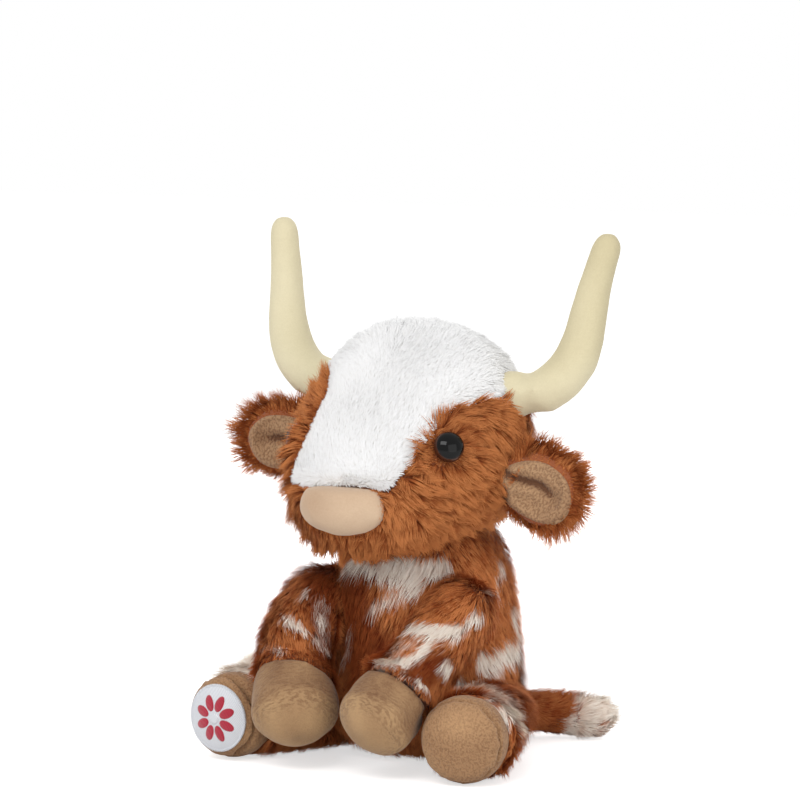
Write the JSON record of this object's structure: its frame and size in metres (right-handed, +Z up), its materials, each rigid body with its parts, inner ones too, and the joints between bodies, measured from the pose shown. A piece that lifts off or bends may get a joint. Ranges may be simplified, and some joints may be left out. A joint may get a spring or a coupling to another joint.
{
  "type": "plush cow",
  "caption": "Sitting soft toy cow with fur-cloth skin, white blaze, stuffed horns, floppy ears, short-pile hooves and limbs that flex at their seams.",
  "frame": {"origin": "under the middle of the seat, on the floor that the cow sits on", "axes": "+Z up, the cow looks along -Y, +X is its left"},
  "size_m": [0.1875, 0.1692, 0.2415],
  "materials": {
    "russet_fur": "long shaggy pile on a knitted backing",
    "white_fur": "soft white pile",
    "tan_plush": "short brushed pile",
    "nose_fleece": "smooth fleece",
    "horn_plush": "very short smooth pile",
    "fibre_fill": "loose polyester fibre",
    "bean_pouch": "plain woven pouch of pellets",
    "eye_plastic": "polished black with a dark brown rim",
    "washer_plastic": "moulded",
    "embroidery": "satin stitch on felt, red motif"
  },
  "bodies": {
    "torso": {"torso_skin": "russet_fur", "torso_stuffing": "fibre_fill", "seat_bean_pouch": "bean_pouch"},
    "neck": {"neck_stuffing": "fibre_fill"},
    "head": {"head_skin": "russet_fur", "head_stuffing": "fibre_fill", "blaze_panel": "white_fur", "nose_pad": "nose_fleece", "eye_left": "eye_plastic", "eye_right": "eye_plastic", "eye_washer_left": "washer_plastic", "eye_washer_right": "washer_plastic"},
    "left_horn": {"horn_left": "horn_plush"},
    "right_horn": {"horn_right": "horn_plush"},
    "left_ear": {"ear_left": "russet_fur", "ear_lining_left": "tan_plush"},
    "right_ear": {"ear_right": "russet_fur", "ear_lining_right": "tan_plush"},
    "left_arm": {"arm_sleeve_left": "russet_fur", "arm_hoof_left": "tan_plush"},
    "right_arm": {"arm_sleeve_right": "russet_fur", "arm_hoof_right": "tan_plush"},
    "left_leg": {"leg_sleeve_left": "russet_fur", "leg_cuff_left": "tan_plush", "leg_sole_left": "tan_plush"},
    "right_leg": {"leg_sleeve_right": "russet_fur", "leg_cuff_right": "tan_plush", "leg_sole_right": "tan_plush", "foot_patch": "embroidery"},
    "tail": {"tail_sleeve": "russet_fur", "tail_tip": "white_fur"}
  },
  "joints": [
    {"name": "head_turn", "type": "hinge", "parent": "torso", "child": "neck", "pos_m": [0, 0, 0.078], "axis": [0, 0, 1], "range_deg": [-30, 30], "stiffness_Nm_per_rad": 0.3},
    {"name": "head_nod", "type": "hinge", "parent": "neck", "child": "head", "pos_m": [0, 0, 0.078], "axis": [1, 0, 0], "range_deg": [-12, 6], "stiffness_Nm_per_rad": 1.2},
    {"name": "left_arm_raise", "type": "hinge", "parent": "torso", "child": "left_arm", "pos_m": [0.037, -0.029, 0.071], "axis": [-1, 0, 0], "range_deg": [0, 35], "stiffness_Nm_per_rad": 0.12},
    {"name": "right_arm_raise", "type": "hinge", "parent": "torso", "child": "right_arm", "pos_m": [-0.037, -0.029, 0.071], "axis": [-1, 0, 0], "range_deg": [0, 35], "stiffness_Nm_per_rad": 0.12},
    {"name": "left_leg_splay", "type": "hinge", "parent": "torso", "child": "left_leg", "pos_m": [0.037, -0.008, 0.021], "axis": [0, 0, 1], "range_deg": [0, 25], "stiffness_Nm_per_rad": 0.2},
    {"name": "right_leg_splay", "type": "hinge", "parent": "torso", "child": "right_leg", "pos_m": [-0.037, -0.008, 0.021], "axis": [0, 0, -1], "range_deg": [0, 25], "stiffness_Nm_per_rad": 0.2},
    {"name": "left_horn_flex", "type": "hinge", "parent": "head", "child": "left_horn", "pos_m": [0.0495, -0.00353, 0.16647], "axis": [0, 1, 0], "range_deg": [-8, 8], "stiffness_Nm_per_rad": 0.2},
    {"name": "right_horn_flex", "type": "hinge", "parent": "head", "child": "right_horn", "pos_m": [-0.0495, -0.00353, 0.16647], "axis": [0, -1, 0], "range_deg": [-8, 8], "stiffness_Nm_per_rad": 0.2},
    {"name": "left_ear_fold", "type": "hinge", "parent": "head", "child": "left_ear", "pos_m": [0.0551, -0.013, 0.13251], "axis": [0.5484, 0.1197, 0.8276], "range_deg": [-12, 12], "stiffness_Nm_per_rad": 0.06},
    {"name": "right_ear_fold", "type": "hinge", "parent": "head", "child": "right_ear", "pos_m": [-0.05655, -0.009, 0.14097], "axis": [0.1005, 0.0301, 0.9945], "range_deg": [-12, 12], "stiffness_Nm_per_rad": 0.06},
    {"name": "tail_swing", "type": "hinge", "parent": "torso", "child": "tail", "pos_m": [0.008, 0.043, 0.0145], "axis": [0, 0, 1], "range_deg": [0, 70], "stiffness_Nm_per_rad": 0.05}
  ]
}
